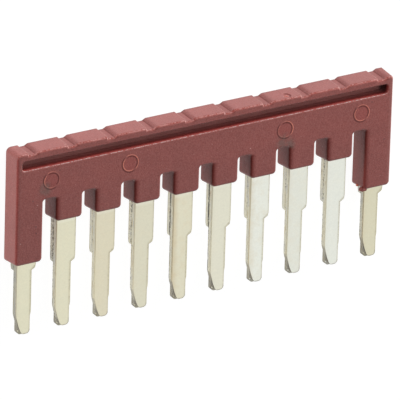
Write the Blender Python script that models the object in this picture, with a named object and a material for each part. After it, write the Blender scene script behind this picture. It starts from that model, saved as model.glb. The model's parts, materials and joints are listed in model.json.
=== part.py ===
"""Terminal block jumper bar: two stamped contact combs, back to back, in one moulded housing.

The bar lies on its flat rear face. +X runs along the bar, +Y from the pin tips to the rail
and +Z out of the slotted front face. Outlines are drawn in the XY plane, with y = 0 at the
roofs of the gaps between the legs, and thicknesses run along Z.
"""
import math

import bmesh
import bpy
from mathutils import Vector

MM = 0.001

# Pole pattern
POLES = 10
PITCH = 5.2 * MM

# Contact combs: a bus bar with one pin for each pole, stamped from sheet
LEAF_THICKNESS = 0.70 * MM
LEAF_GAP = 0.04 * MM
BUS_HEIGHT = 2.90 * MM
NECK_HALF_WIDTH = 1.28 * MM
NECK_BELOW_LEGS = 0.37 * MM
SHOULDER_DROP = 0.88 * MM
SHOULDER_KNEE_IN = 0.08 * MM
SHOULDER_KNEE_RISE = 0.36 * MM
SHOULDER_RADIUS = 0.26 * MM
SHOULDER_ROOT_RADIUS = 0.15 * MM
BLADE_INNER_EDGE = 0.62 * MM
TIP_OUTER_EDGE = 0.78 * MM
TIP_BELOW_LEGS = 9.15 * MM
TIP_CUT_TOP = 2.62 * MM
TIP_CUT_FOOT = 0.62 * MM
TIP_CUT_BEND = 1.50 * MM
TIP_RADIUS = 0.52 * MM
DIE_ROLL = 0.12 * MM
REAR_PIN_DROP = 0.30 * MM
REAR_PIN_INSET = 0.14 * MM

# Housing: a rail over the bus bar, and a leg round each pin's neck
POCKET_CLEARANCE = 0.05 * MM
HOUSING_THICKNESS = 2.80 * MM
LEG_WALL = 0.39 * MM
END_WALL = 0.49 * MM
BUS_FLOOR = 0.50 * MM
BUS_COVER = 0.76 * MM
SHORT_LEG_DROP = 3.10 * MM
LONG_LEG_DROP = 7.74 * MM
LEG_CORNER_RADIUS = 0.50 * MM
FOOT_SLANT = 0.35 * MM
GAP_ROOF_RADIUS = 0.35 * MM
RAIL_LEFT_RADIUS = 0.60 * MM
FRONT_EDGE_RADIUS = 0.28 * MM
REAR_EDGE_RADIUS = 0.12 * MM

# Front slot under the rail's top
SLOT_HEIGHT = 1.17 * MM
SLOT_DEPTH = 1.50 * MM
SLOT_END_WALL = 0.70 * MM
SLOT_CORNER_RADIUS = 0.38 * MM
SLOT_LIP_RADIUS = 0.18 * MM
RAIL_ROOF = 0.975 * MM

# Cross grooves in the rail's top, one at each pole
GROOVE_DEPTH = 0.24 * MM
GROOVE_START = 0.37 * MM
GROOVE_STEEP_SIDE = 0.12 * MM
GROOVE_FLOOR = 0.76 * MM
GROOVE_SLOPED_SIDE = 0.44 * MM

# Ring marks left by the ejectors on the front face, beside the gaps with these numbers
MARK_GAPS = (1, 3, 7, 9)
MARK_RADIUS = 1.00 * MM
MARK_GROOVE_RADIUS = 0.09 * MM
MARK_RISE = 2.32 * MM
MARK_SHIFT = 0.14 * MM

# Facets
ARC_STEP = math.radians(20)
EDGE_SEGMENTS = 3
LIP_SEGMENTS = 2
MARK_SEGMENTS = 32
MARK_GROOVE_SEGMENTS = 8
SMOOTH_ANGLE = math.radians(35)
LEVEL = 1e-7

# Places that follow from the sizes above
SPAN = (POLES - 1) * PITCH
LEG_HALF_WIDTH = NECK_HALF_WIDTH + POCKET_CLEARANCE + LEG_WALL
HALF_LENGTH = SPAN / 2 + NECK_HALF_WIDTH + POCKET_CLEARANCE + END_WALL
BUS_TOP = BUS_FLOOR + BUS_HEIGHT
SLOT_LOW = BUS_TOP + BUS_COVER
SLOT_HIGH = SLOT_LOW + SLOT_HEIGHT
RAIL_TOP = SLOT_HIGH + RAIL_ROOF
TIP_Y = -(LONG_LEG_DROP + TIP_BELOW_LEGS)
REAR_TIP_Y = TIP_Y - REAR_PIN_DROP
LEAF_LOW = (HOUSING_THICKNESS + LEAF_GAP) / 2
LEAF_HIGH = LEAF_LOW + LEAF_THICKNESS
DATUM_Y = -(REAR_TIP_Y + RAIL_TOP) / 2


def pole_x(number):
    """Centre of a pole, numbered from 0 at the left end."""
    return number * PITCH - SPAN / 2


def rounded(corners):
    """Points of a closed outline given as (x, y, radius) corners, each corner turned into an arc."""
    points = []
    for index, (x, y, radius) in enumerate(corners):
        corner = Vector((x, y))
        back = Vector(corners[index - 1][:2]) - corner
        ahead = Vector(corners[(index + 1) % len(corners)][:2]) - corner
        opening = back.angle(ahead)
        turn = math.pi - opening
        reach = min(radius * math.tan(turn / 2), 0.49 * back.length, 0.49 * ahead.length)
        if reach <= 0:
            points.append((x, y))
            continue
        arc_radius = reach / math.tan(turn / 2)
        inward = (back.normalized() + ahead.normalized()).normalized()
        centre = corner + inward * arc_radius / math.sin(opening / 2)
        spoke = corner + back.normalized() * reach - centre
        spin = math.copysign(turn, ahead.cross(back))
        steps = max(1, round(turn / ARC_STEP))
        for step in range(steps + 1):
            angle = spin * step / steps
            turned_x = spoke.x * math.cos(angle) - spoke.y * math.sin(angle)
            turned_y = spoke.x * math.sin(angle) + spoke.y * math.cos(angle)
            points.append((centre.x + turned_x, centre.y + turned_y))
    return points


def lies_at(face, height):
    """True for a face whose corners all lie at one height."""
    return all(abs(vertex.co.z - height) < LEVEL for vertex in face.verts)


def plate(name, outline, low, high, collection):
    """A flat piece with the given outline between two heights, as a closed mesh object.

    The curve's fill is triangles, and one whole face takes their place at each end.
    """
    curve = bpy.data.curves.new(name, "CURVE")
    curve.dimensions = "2D"
    curve.fill_mode = "BOTH"
    curve.extrude = (high - low) / 2
    spline = curve.splines.new("POLY")
    spline.points.add(len(outline) - 1)
    for point, (x, y) in zip(spline.points, outline):
        point.co = (x, y, 0, 1)
    spline.use_cyclic_u = True
    drawn = bpy.data.objects.new(name + "_outline", curve)
    drawn.location.z = (low + high) / 2
    collection.objects.link(drawn)
    bpy.context.view_layer.update()
    mesh = bpy.data.meshes.new_from_object(drawn.evaluated_get(bpy.context.evaluated_depsgraph_get()))
    mesh.transform(drawn.matrix_world)
    bpy.data.objects.remove(drawn)
    mesh.name = name
    work = bmesh.new()
    work.from_mesh(mesh)
    bmesh.ops.remove_doubles(work, verts=work.verts, dist=1e-6)
    for height in (low, high):
        triangles = [face for face in work.faces if lies_at(face, height)]
        bmesh.ops.delete(work, geom=triangles, context="FACES")
    bmesh.ops.holes_fill(work, edges=work.edges)
    bmesh.ops.recalc_face_normals(work, faces=work.faces)
    work.to_mesh(mesh)
    work.free()
    piece = bpy.data.objects.new(name, mesh)
    collection.objects.link(piece)
    return piece


def round_edges(piece, height, radius, segments):
    """Round the edges of a plate's face at a height."""
    work = bmesh.new()
    work.from_mesh(piece.data)
    outline = set()
    for face in work.faces:
        if lies_at(face, height):
            outline.update(face.edges)
    bmesh.ops.bevel(
        work,
        geom=list(outline),
        offset=radius,
        segments=segments,
        profile=0.5,
        affect="EDGES",
    )
    work.to_mesh(piece.data)
    work.free()


def loft(name, sections, collection):
    """A closed piece through a stack of outlines with equal numbers of points, each with its height."""
    work = bmesh.new()
    rings = [[work.verts.new((x, y, height)) for x, y in outline] for outline, height in sections]
    for ring, above in zip(rings, rings[1:]):
        for index in range(len(ring)):
            work.faces.new((ring[index - 1], ring[index], above[index], above[index - 1]))
    for ring in (rings[0], rings[-1]):
        work.faces.new(ring)
    bmesh.ops.recalc_face_normals(work, faces=work.faces)
    mesh = bpy.data.meshes.new(name)
    work.to_mesh(mesh)
    work.free()
    piece = bpy.data.objects.new(name, mesh)
    collection.objects.link(piece)
    return piece


def cut(piece, cutter):
    """Cut a piece with a modifier that stays on it."""
    boolean = piece.modifiers.new(cutter.name, "BOOLEAN")
    boolean.operation = "DIFFERENCE"
    boolean.solver = "EXACT"
    boolean.object = cutter
    cutter.hide_render = True
    cutter.display_type = "WIRE"


def smooth(piece):
    piece.data.shade_smooth()
    piece.data.set_sharp_from_angle(angle=SMOOTH_ANGLE)


def material(name, colour, roughness, metallic):
    made = bpy.data.materials.new(name)
    made.use_nodes = True
    shader = made.node_tree.nodes["Principled BSDF"]
    shader.inputs["Base Color"].default_value = (*colour, 1)
    shader.inputs["Roughness"].default_value = roughness
    shader.inputs["Metallic"].default_value = metallic
    return made


def pin_corners(x, drop, inset):
    """One pin below its bus bar, down its left side and up its right side.

    The left side is straight down to a slanting cut at the tip, and the right side steps in
    at a shoulder below the legs. The drop lowers the shoulder and the tip, and the inset
    narrows the pin on its straight side.
    """
    tip = TIP_Y - drop
    shoulder_top = -(LONG_LEG_DROP + NECK_BELOW_LEGS) - drop
    shoulder_foot = shoulder_top - SHOULDER_DROP
    return [
        (x - NECK_HALF_WIDTH + inset, tip + TIP_CUT_TOP, TIP_CUT_BEND),
        (x - TIP_OUTER_EDGE + inset, tip + TIP_CUT_FOOT, TIP_RADIUS),
        (x - TIP_OUTER_EDGE + inset, tip, TIP_RADIUS),
        (x + BLADE_INNER_EDGE, tip, TIP_RADIUS),
        (x + BLADE_INNER_EDGE, shoulder_foot, SHOULDER_ROOT_RADIUS),
        (x + NECK_HALF_WIDTH - SHOULDER_KNEE_IN, shoulder_foot + SHOULDER_KNEE_RISE, SHOULDER_RADIUS),
        (x + NECK_HALF_WIDTH, shoulder_top, SHOULDER_RADIUS),
    ]


def comb_outline(drop, inset):
    """Outline of a contact comb: the bus bar along the top and a pin at each pole."""
    bus_half = SPAN / 2 + NECK_HALF_WIDTH
    corners = [(bus_half, BUS_TOP, 0), (inset - bus_half, BUS_TOP, 0)]
    for number in range(POLES):
        x = pole_x(number)
        if number > 0:
            corners.append((x - NECK_HALF_WIDTH + inset, BUS_FLOOR, 0))
        corners += pin_corners(x, drop, inset)
        if number < POLES - 1:
            corners.append((x + NECK_HALF_WIDTH, BUS_FLOOR, 0))
    return rounded(corners)


def pocket_outline():
    """Outline of the pocket that holds both combs, open at the foot of every leg."""
    neck = NECK_HALF_WIDTH + POCKET_CLEARANCE
    low = BUS_FLOOR - POCKET_CLEARANCE
    high = BUS_TOP + POCKET_CLEARANCE
    foot = -(LONG_LEG_DROP + FOOT_SLANT + NECK_BELOW_LEGS)
    outline = [(SPAN / 2 + neck, high), (-SPAN / 2 - neck, high)]
    for number in range(POLES):
        x = pole_x(number)
        if number > 0:
            outline.append((x - neck, low))
        outline += [(x - neck, foot), (x + neck, foot)]
        if number < POLES - 1:
            outline.append((x + neck, low))
    return outline


def housing_outline(foot_drop):
    """Outline of the housing: the rail with its top grooves, eight short legs and two long ones."""
    corners = [(HALF_LENGTH, RAIL_TOP, 0)]
    for number in reversed(range(POLES)):
        left = pole_x(number) - GROOVE_START
        floor_left = left + GROOVE_STEEP_SIDE
        floor_right = floor_left + GROOVE_FLOOR
        corners += [
            (floor_right + GROOVE_SLOPED_SIDE, RAIL_TOP, 0),
            (floor_right, RAIL_TOP - GROOVE_DEPTH, 0),
            (floor_left, RAIL_TOP - GROOVE_DEPTH, 0),
            (left, RAIL_TOP, 0),
        ]
    corners.append((-HALF_LENGTH, RAIL_TOP, RAIL_LEFT_RADIUS))
    for number in range(POLES):
        ends_bar = number in (0, POLES - 1)
        foot = -(LONG_LEG_DROP if ends_bar else SHORT_LEG_DROP) - foot_drop
        left = pole_x(number) - LEG_HALF_WIDTH
        right = pole_x(number) + LEG_HALF_WIDTH
        if number == 0:
            left = -HALF_LENGTH
        else:
            corners.append((left, 0, GAP_ROOF_RADIUS))
        if number == POLES - 1:
            right = HALF_LENGTH
        corners += [(left, foot, LEG_CORNER_RADIUS), (right, foot, LEG_CORNER_RADIUS)]
        if number < POLES - 1:
            corners.append((right, 0, GAP_ROOF_RADIUS))
    return rounded(corners)


def slot_outline(growth):
    """Outline of the front slot, widened all round."""
    end = HALF_LENGTH - SLOT_END_WALL + growth
    low = SLOT_LOW - growth
    high = SLOT_HIGH + growth
    radius = SLOT_CORNER_RADIUS + growth
    return rounded([(end, high, radius), (-end, high, radius), (-end, low, radius), (end, low, radius)])


def slot_cutter(collection):
    """The front slot with its rounded lip, which opens out to the front face in a quarter circle."""
    lip_foot = HOUSING_THICKNESS - SLOT_LIP_RADIUS
    sections = [(slot_outline(0), HOUSING_THICKNESS - SLOT_DEPTH)]
    for step in range(LIP_SEGMENTS + 1):
        angle = math.pi / 2 * step / LIP_SEGMENTS
        growth = SLOT_LIP_RADIUS * (1 - math.cos(angle))
        sections.append((slot_outline(growth), lip_foot + SLOT_LIP_RADIUS * math.sin(angle)))
    sections.append((slot_outline(SLOT_LIP_RADIUS), HOUSING_THICKNESS + SLOT_DEPTH))
    return loft("slot_cutter", sections, collection)


def build_housing(parts, cutters):
    sections = [(housing_outline(FOOT_SLANT), 0), (housing_outline(0), HOUSING_THICKNESS)]
    housing = loft("insulating_housing", sections, parts)
    round_edges(housing, 0, REAR_EDGE_RADIUS, LIP_SEGMENTS)
    round_edges(housing, HOUSING_THICKNESS, FRONT_EDGE_RADIUS, EDGE_SEGMENTS)
    cut(housing, slot_cutter(cutters))
    leaves_low = HOUSING_THICKNESS - LEAF_HIGH
    pocket = plate(
        "pocket_cutter",
        pocket_outline(),
        leaves_low - POCKET_CLEARANCE,
        LEAF_HIGH + POCKET_CLEARANCE,
        cutters,
    )
    cut(housing, pocket)
    for number in MARK_GAPS:
        bpy.ops.mesh.primitive_torus_add(
            major_radius=MARK_RADIUS,
            minor_radius=MARK_GROOVE_RADIUS,
            major_segments=MARK_SEGMENTS,
            minor_segments=MARK_GROOVE_SEGMENTS,
            location=(pole_x(number - 0.5) + MARK_SHIFT, MARK_RISE, HOUSING_THICKNESS),
        )
        mark = bpy.context.object
        mark.name = "mark_cutter_%d" % number
        for holder in list(mark.users_collection):
            holder.objects.unlink(mark)
        cutters.objects.link(mark)
        cut(housing, mark)
    return housing


def build_combs(parts):
    """Two like combs. The rear one is turned half round about Y, with longer, narrower pins."""
    front = plate("front_contact_comb", comb_outline(0, 0), LEAF_LOW, LEAF_HIGH, parts)
    rear_pins = comb_outline(REAR_PIN_DROP, REAR_PIN_INSET)
    rear = plate("rear_contact_comb", rear_pins, LEAF_LOW, LEAF_HIGH, parts)
    for comb in (front, rear):
        round_edges(comb, LEAF_HIGH, DIE_ROLL, LIP_SEGMENTS)
    rear.rotation_euler.y = math.pi
    rear.location.z = HOUSING_THICKNESS
    return front, rear


def main():
    for leftover in list(bpy.data.objects):
        bpy.data.objects.remove(leftover)
    parts = bpy.data.collections.new("jumper_bar")
    cutters = bpy.data.collections.new("jumper_bar_cutters")
    for collection in (parts, cutters):
        bpy.context.scene.collection.children.link(collection)
    housing = build_housing(parts, cutters)
    front, rear = build_combs(parts)
    housing.data.materials.append(material("red_plastic", (0.26, 0.075, 0.068), 0.5, 0))
    front.data.materials.append(material("front_leaf_metal", (0.72, 0.70, 0.58), 0.35, 1))
    rear.data.materials.append(material("rear_leaf_metal", (0.70, 0.68, 0.57), 0.35, 1))
    for piece in (housing, front, rear):
        smooth(piece)
    datum = bpy.data.objects.new("gap_roof_datum", None)
    datum.location.y = DATUM_Y
    parts.objects.link(datum)
    for piece in list(parts.objects) + list(cutters.objects):
        if piece is not datum:
            piece.parent = datum


main()
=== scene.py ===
import json
import math

import bmesh
import bpy
from mathutils import Matrix, Vector, noise

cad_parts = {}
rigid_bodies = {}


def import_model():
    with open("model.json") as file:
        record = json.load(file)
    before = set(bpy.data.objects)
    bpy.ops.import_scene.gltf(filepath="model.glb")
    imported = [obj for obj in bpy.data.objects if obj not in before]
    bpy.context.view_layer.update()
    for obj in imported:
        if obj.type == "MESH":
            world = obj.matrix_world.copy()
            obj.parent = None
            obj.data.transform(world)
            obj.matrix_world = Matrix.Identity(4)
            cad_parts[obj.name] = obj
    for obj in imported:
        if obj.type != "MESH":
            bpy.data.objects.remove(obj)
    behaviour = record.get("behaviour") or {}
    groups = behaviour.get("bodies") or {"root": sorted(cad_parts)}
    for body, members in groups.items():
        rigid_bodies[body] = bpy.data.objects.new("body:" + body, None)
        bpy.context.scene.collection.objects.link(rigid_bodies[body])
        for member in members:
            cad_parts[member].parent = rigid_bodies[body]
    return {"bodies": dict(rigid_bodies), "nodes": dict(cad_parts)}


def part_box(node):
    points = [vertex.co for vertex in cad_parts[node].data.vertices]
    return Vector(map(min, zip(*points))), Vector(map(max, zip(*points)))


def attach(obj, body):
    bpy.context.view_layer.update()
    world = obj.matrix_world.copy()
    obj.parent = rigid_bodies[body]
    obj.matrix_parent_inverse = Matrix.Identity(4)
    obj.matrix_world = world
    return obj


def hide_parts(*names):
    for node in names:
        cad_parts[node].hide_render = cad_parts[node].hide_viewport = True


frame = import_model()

MM = 0.001
BODY = "root"

# The frame: everything below is placed from these boxes
HOUSING_LOW, HOUSING_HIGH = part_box("insulating_housing")
LEAF_LOW_CORNER, LEAF_HIGH_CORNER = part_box("front_contact_comb")
REAR_LOW_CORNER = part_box("rear_contact_comb")[0]
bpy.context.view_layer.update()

# Pole pattern
POLES = 10
PITCH = 5.2 * MM
SPAN = (POLES - 1) * PITCH

# Contact combs. The tip's cut is given as steps out from the pin's centre, rises and corner radii
NECK_HALF_WIDTH = 1.28 * MM
BUS_HEIGHT = 2.90 * MM
BUS_FLOOR = 0.50 * MM
NECK_BELOW_LEGS = 0.37 * MM
SHOULDER_DROP = 0.88 * MM
SHOULDER_KNEE_IN = 0.08 * MM
SHOULDER_KNEE_RISE = 0.36 * MM
SHOULDER_RADIUS = 0.26 * MM
SHOULDER_ROOT_RADIUS = 0.15 * MM
BLADE_INNER_EDGE = 0.62 * MM
TIP_CUT = ((1.28, 2.62, 1.50), (0.87, 1.00, 1.30), (0.60, 0.30, 0.70), (0.32, 0.00, 0.42))
TIP_RADIUS = 0.48 * MM
DIE_ROLL = 0.04 * MM
REAR_PIN_INSET = 0.14 * MM

# Housing
POCKET_CLEARANCE = 0.05 * MM
LEG_WALL = 0.39 * MM
LONG_LEG_DROP = 7.74 * MM
SHORT_LEG_DROP = 3.10 * MM
LEG_CORNER_RADIUS = 0.50 * MM
FOOT_SLANT = 0.35 * MM
GAP_ROOF_RADIUS = 0.35 * MM
RAIL_LEFT_RADIUS = 0.60 * MM
RAIL_RIGHT_RADIUS_REAR = 0.13 * MM
RAIL_RIGHT_RADIUS_FRONT = 0.48 * MM
FRONT_EDGE_RADIUS = 0.28 * MM
REAR_EDGE_RADIUS = 0.12 * MM
SLOT_RISE = 4.16 * MM
SLOT_HEIGHT = 1.17 * MM
SLOT_DEPTH = 1.50 * MM
SLOT_END_WALL = 0.70 * MM
SLOT_CORNER_RADIUS = 0.38 * MM
SLOT_LIP_RADIUS = 0.18 * MM
GROOVE_DEPTH = 0.24 * MM
GROOVE_START = 0.37 * MM
GROOVE_STEEP_SIDE = 0.12 * MM
GROOVE_FLOOR = 0.76 * MM
GROOVE_SLOPED_SIDE = 0.44 * MM
MARK_GAPS = (1, 3, 7, 9)
MARK_RADIUS = 1.00 * MM
MARK_GROOVE_RADIUS = 0.09 * MM
MARK_RISE = 2.32 * MM
MARK_LIFT = 0.078 * MM
MARK_SHIFT = 0.14 * MM

# Gate scar on the rail's top, in millimetres along the bar and up from the rear face
GATE_SCAR = (10.97, 2.00)
GATE_SCAR_RADIUS = 0.56 * MM
GATE_SCAR_DEPTH = 0.09 * MM
GATE_SCAR_RING = 0.50

# Torn plastic beside the last pin and in the gate scar: centres and half sizes of its lumps, in millimetres
FLASH_LUMPS = (
    (21.68, -2.40, 2.26, 0.36, 0.27, 0.36),
    (21.99, -2.35, 2.44, 0.28, 0.25, 0.30),
    (21.74, -2.30, 1.18, 0.18, 0.15, 0.20),
    (11.00, 11.625, 2.10, 0.42, 0.09, 0.34),
)
FLASH_WAVES = 3.1
FLASH_UNEVEN = 0.10 * MM
FLASH_LEAN = (0.3, 1, 0.5)

# Places read from the frame
HALF_LENGTH = HOUSING_HIGH.x
THICKNESS = HOUSING_HIGH.z
RAIL_TOP = HOUSING_HIGH.y
LEG_FOOT = HOUSING_LOW.y + FOOT_SLANT
GAP_ROOF = LEG_FOOT + LONG_LEG_DROP
TIP_Y = LEAF_LOW_CORNER.y
REAR_PIN_DROP = TIP_Y - REAR_LOW_CORNER.y
LEAF_LOW = LEAF_LOW_CORNER.z
LEAF_HIGH = LEAF_HIGH_CORNER.z
LEG_HALF_WIDTH = NECK_HALF_WIDTH + POCKET_CLEARANCE + LEG_WALL

# Places for the shaders, in millimetres. Grooves, legs and pins are measured from their pole's centre
TOP = RAIL_TOP / MM
ROOF = GAP_ROOF / MM
FRONT = THICKNESS / MM
RIGHT_END = HALF_LENGTH / MM
LEFT_END = -RIGHT_END
FIRST_POLE = -SPAN / 2 / MM
POLE_STEP = PITCH / MM
STEEP_EDGE = -GROOVE_START / MM
SLOPE_FOOT = (GROOVE_STEEP_SIDE + GROOVE_FLOOR - GROOVE_START) / MM
SLOPE_TOP = SLOPE_FOOT + GROOVE_SLOPED_SIDE / MM
SLOT_LOW = (GAP_ROOF + SLOT_RISE) / MM
SLOT_HIGH = SLOT_LOW + SLOT_HEIGHT / MM
LEG_EDGE = -LEG_HALF_WIDTH / MM
PIN_EDGE = -NECK_HALF_WIDTH / MM
BLADE_EDGE = BLADE_INNER_EDGE / MM
SHORT_FOOT = (GAP_ROOF - SHORT_LEG_DROP) / MM
SHOULDER = (LEG_FOOT - NECK_BELOW_LEGS - SHOULDER_DROP / 2) / MM
TIP = TIP_Y / MM
TIP_ROUND = TIP_RADIUS / MM
FACE = LEAF_HIGH / MM
SEAM = THICKNESS / 2 / MM

# Facets of the fine surfaces, and the largest share of a side that a corner's arc may take
ARC_STEP = math.radians(7)
ARC_SHARE = 0.49
EDGE_SEGMENTS = 8
DIE_ROLL_SEGMENTS = 4
MARK_SEGMENTS = 96
MARK_GROOVE_SEGMENTS = 16
SCAR_SUBDIVISIONS = 6
LUMP_SUBDIVISIONS = 3
SMOOTH_ANGLE = math.radians(35)
SAME_HEIGHT = 1e-7

# Camera, fitted to the photo: 8161 pixels of focal length on a 400 pixel wide picture
FOCAL_PIXELS = 8161.1
PICTURE_PIXELS = 400
SENSOR = 36.0
CAMERA_PLACE = Vector((-444.54, 398.03, 739.72)) * MM
CAMERA_BACK = Vector((-0.46843, 0.41894, 0.77786))
CAMERA_UP = Vector((0.18986, 0.90759, -0.37448))

# Light, with each softbox as a name, its direction, width, height and strength
LAMP_DISTANCE = 1.6
SOFTBOXES = (
    ("top_softbox", (0.74, 0.64, 0.16), 0.7, 0.5, 0.95),
    ("edge_softbox", (0.47, 0.85, 0.24), 0.16, 0.16, 0.26),
    ("left_softbox", (-0.96, 0.24, 0.022), 0.8, 0.07, 0.62),
)
WHITE = (1, 1, 1, 1)
WORLD_LIGHT = 0.55
FLOOR_SIZE = 4
FLOOR_DROP = 0.02 * MM
FLOOR_LIGHT = 0.9
FLOOR_GLOW = 0.93
FLOOR_GREY = (0.16, 0.16, 0.16, 1)
CARD_DIRECTION = (-0.75, -0.42, 0.44)
CARD_INNER = 15
CARD_OUTER = 50
CARD_LEVEL = 0.05

# Plastic: its shine in the open and in the shade, and its relief as strength and depth
PLASTIC_ROUGHNESS = 0.42
PLASTIC_SHINE = (0.62, 0.10)
PLASTIC_BUMP = (0.6, 0.06 * MM)
FLASH_ROUGHNESS = 0.45
FLASH_BUMP = (0.5, 0.05 * MM)
PLASTIC_COLOUR = (0.260, 0.053, 0.043, 1)
# Painted sheen that lightens the top faces
PLASTIC_TOP_SHEEN = (0.238, 0.059, 0.051, 1)
# Painted shade, in the grooves, round the scar, down the legs' edges, at the left end, on the rear rim and on
# the marks' rings
PLASTIC_PAINTED_SHADE = (0.085, 0.012, 0.011, 1)
# Dark specks, and painted shade at the foot of each groove's slope
PLASTIC_DARK = (0.060, 0.012, 0.012, 1)
# Painted shade in the slot's right end
PLASTIC_SLOT_END_SHADE = (0.010, 0.005, 0.005, 1)
# Light specks and grain, and the painted highlights, reflections and glints
PLASTIC_LIGHT = (0.540, 0.290, 0.265, 1)
# Painted highlight on the slot's lower lip
PLASTIC_LIP_HIGHLIGHT = (0.400, 0.290, 0.280, 1)
# Orange of the torn flash's fleck, also the painted highlight on the marks' rings
PLASTIC_ORANGE_AND_RING_HIGHLIGHT = (0.720, 0.210, 0.140, 1)
PLASTIC_DISC = (0.275, 0.043, 0.034, 1)
# Painted light on the slot's rear wall
PLASTIC_SLOT_REAR_LIGHT = (0.470, 0.205, 0.190, 1)
# Saturated red of the painted shade in the slot and along the left end's front edge
PLASTIC_SATURATED_SHADE = (0.340, 0.062, 0.054, 1)
PLASTIC_SMUDGE = (0.110, 0.075, 0.060, 1)
FLASH_COLOUR = (0.250, 0.055, 0.045, 1)

# Painted light that changes the plastic's tone from the left to the right, and a slightly darker tone on the
# legs
TONE_REACH = 25
FRONT_PAINTED_LIGHT = (0.96, 1.06)
TOP_PAINTED_LIGHT = (1.03, 0.93)
LEG_TONE = 0.94

# Marks on the front, in millimetres: smudges with their radius, and specks
SMUDGES = ((10.35, 6.35, 1.35), (11.2, 5.7, 1.1), (-21.5, 6.8, 1.2))
DARK_SPECKS = (
    (-23.08, 5.62),
    (-22.62, 2.30),
    (-22.56, 1.46),
    (-19.61, 8.87),
    (22.31, 8.95),
    (24.18, 3.81),
)
LIGHT_SPECKS = ((-22.48, 4.99), (5.87, 6.35), (-24.62, 0.53))

# Painted light on the round marks: the lamp's direction over the front, and each mark's strength at its two
# sides
MARK_LAMP = (0.80, 0.60)
MARK_LEFT_LIGHT = (0.95, 1.00, 0.30, 0.90)
MARK_RIGHT_LIGHT = (0.25, 0.95, 1.00, 0.80)

# Metal: its values on bare plating and on worked edges, and its shine in the open and where painted shade and
# stain darken the seam and tips
METAL_METALLIC = (1.0, 0.50)
METAL_ROUGHNESS = (0.32, 0.50)
METAL_SHINE = (0.5, 0.05)
METAL_BUMP = (0.10, 0.03 * MM)

# Stretch of the noise that draws streaks down the sheared sides
STREAK_SCALE = (1.0, 0.40, 2.4)

# Metal, with one value for each pin from the left
# Each face's colour is the plating's own, with painted reflections that make pins 1 to 4 warm and pins 7 to 9
# bluish white
PIN_FACES_WITH_REFLECTIONS = (
    (0.735, 0.712, 0.540, 1),
    (0.740, 0.715, 0.545, 1),
    (0.715, 0.670, 0.510, 1),
    (0.705, 0.680, 0.535, 1),
    (0.738, 0.708, 0.552, 1),
    (0.750, 0.735, 0.605, 1),
    (0.800, 0.815, 0.735, 1),
    (0.765, 0.775, 0.690, 1),
    (0.785, 0.800, 0.725, 1),
    (0.695, 0.665, 0.500, 1),
)
PIN_RIMS = (
    (0.420, 0.385, 0.290, 1),
    (0.670, 0.600, 0.410, 1),
    (0.740, 0.680, 0.480, 1),
    (0.720, 0.660, 0.480, 1),
    (0.560, 0.480, 0.310, 1),
    (0.670, 0.630, 0.470, 1),
    (0.650, 0.580, 0.400, 1),
    (0.620, 0.580, 0.420, 1),
    (0.700, 0.660, 0.500, 1),
    (0.460, 0.390, 0.250, 1),
)
PIN_SIDES = (0.42, 0.94, 0.97, 0.97, 0.96, 1.00, 1.00, 0.98, 0.94, 0.84)
PIN_SEAMS = (0.10, 0.19, 0.08, 0.17, 0.27, 0.29, 0.08, 0.10, 0.12, 0.20)
PIN_SPECKS = (0.10, 0.27, 0.10, 0.19, 0.10, 0.08, 0.05, 0.06, 0.10, 0.12)
PIN_STAINS = (0.05, 0.08, 0.14, 0.10, 0.22, 0.04, 0.20, 0.12, 0.06, 0.14)
PIN_SHADES = (0.10, 0.08, 0.05, 0.05, 0.60, 0.05, 0.28, 0.10, 0.05, 0.12)
# How strongly the painted shade lies on each tip's cut and on the rear tip
PIN_TIPS = (0.70, 0.45, 0.55, 0.60, 0.95, 1.00, 0.75, 0.95, 0.90, 1.00)

# Metal of every pin
METAL_STAIN = (0.600, 0.500, 0.330, 1)
# Painted highlight on the pins' faces just below the short legs
METAL_HIGHLIGHT = (0.860, 0.850, 0.760, 1)
SIDE_PALE = (0.820, 0.790, 0.640, 1)
SIDE_GREY = (0.690, 0.680, 0.610, 1)
SIDE_TAN = (0.700, 0.620, 0.440, 1)
EDGE_TAN = (0.620, 0.570, 0.370, 1)
# Brown of specks and streaks, also used for painted shade on the tips
SIDE_BROWN = (0.220, 0.190, 0.140, 1)
# Near black for the seam's painted shade and stain, and for the painted shadow by the tips' cut
SEAM_DARK = (0.030, 0.026, 0.020, 1)


def pole_x(number):
    """Centre of a pole, numbered from 0 at the left end."""
    return number * PITCH - SPAN / 2


def rounded(corners):
    """Points of a closed outline given as (x, y, radius) corners, each corner turned into an arc."""
    points = []
    for index, (x, y, radius) in enumerate(corners):
        corner = Vector((x, y))
        back = Vector(corners[index - 1][:2]) - corner
        ahead = Vector(corners[(index + 1) % len(corners)][:2]) - corner
        opening = back.angle(ahead)
        turn = math.pi - opening
        reach = min(radius * math.tan(turn / 2), ARC_SHARE * back.length, ARC_SHARE * ahead.length)
        if reach <= 0:
            points.append((x, y))
            continue
        arc_radius = reach / math.tan(turn / 2)
        inward = (back.normalized() + ahead.normalized()).normalized()
        centre = corner + inward * arc_radius / math.sin(opening / 2)
        spoke = corner + back.normalized() * reach - centre
        spin = math.copysign(turn, ahead.cross(back))
        steps = max(1, round(turn / ARC_STEP))
        for step in range(steps + 1):
            angle = spin * step / steps
            turned_x = spoke.x * math.cos(angle) - spoke.y * math.sin(angle)
            turned_y = spoke.x * math.sin(angle) + spoke.y * math.cos(angle)
            points.append((centre.x + turned_x, centre.y + turned_y))
    return points


def link(name, data):
    """A new object with some data, in the scene."""
    piece = bpy.data.objects.new(name, data)
    bpy.context.scene.collection.objects.link(piece)
    return piece


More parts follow.
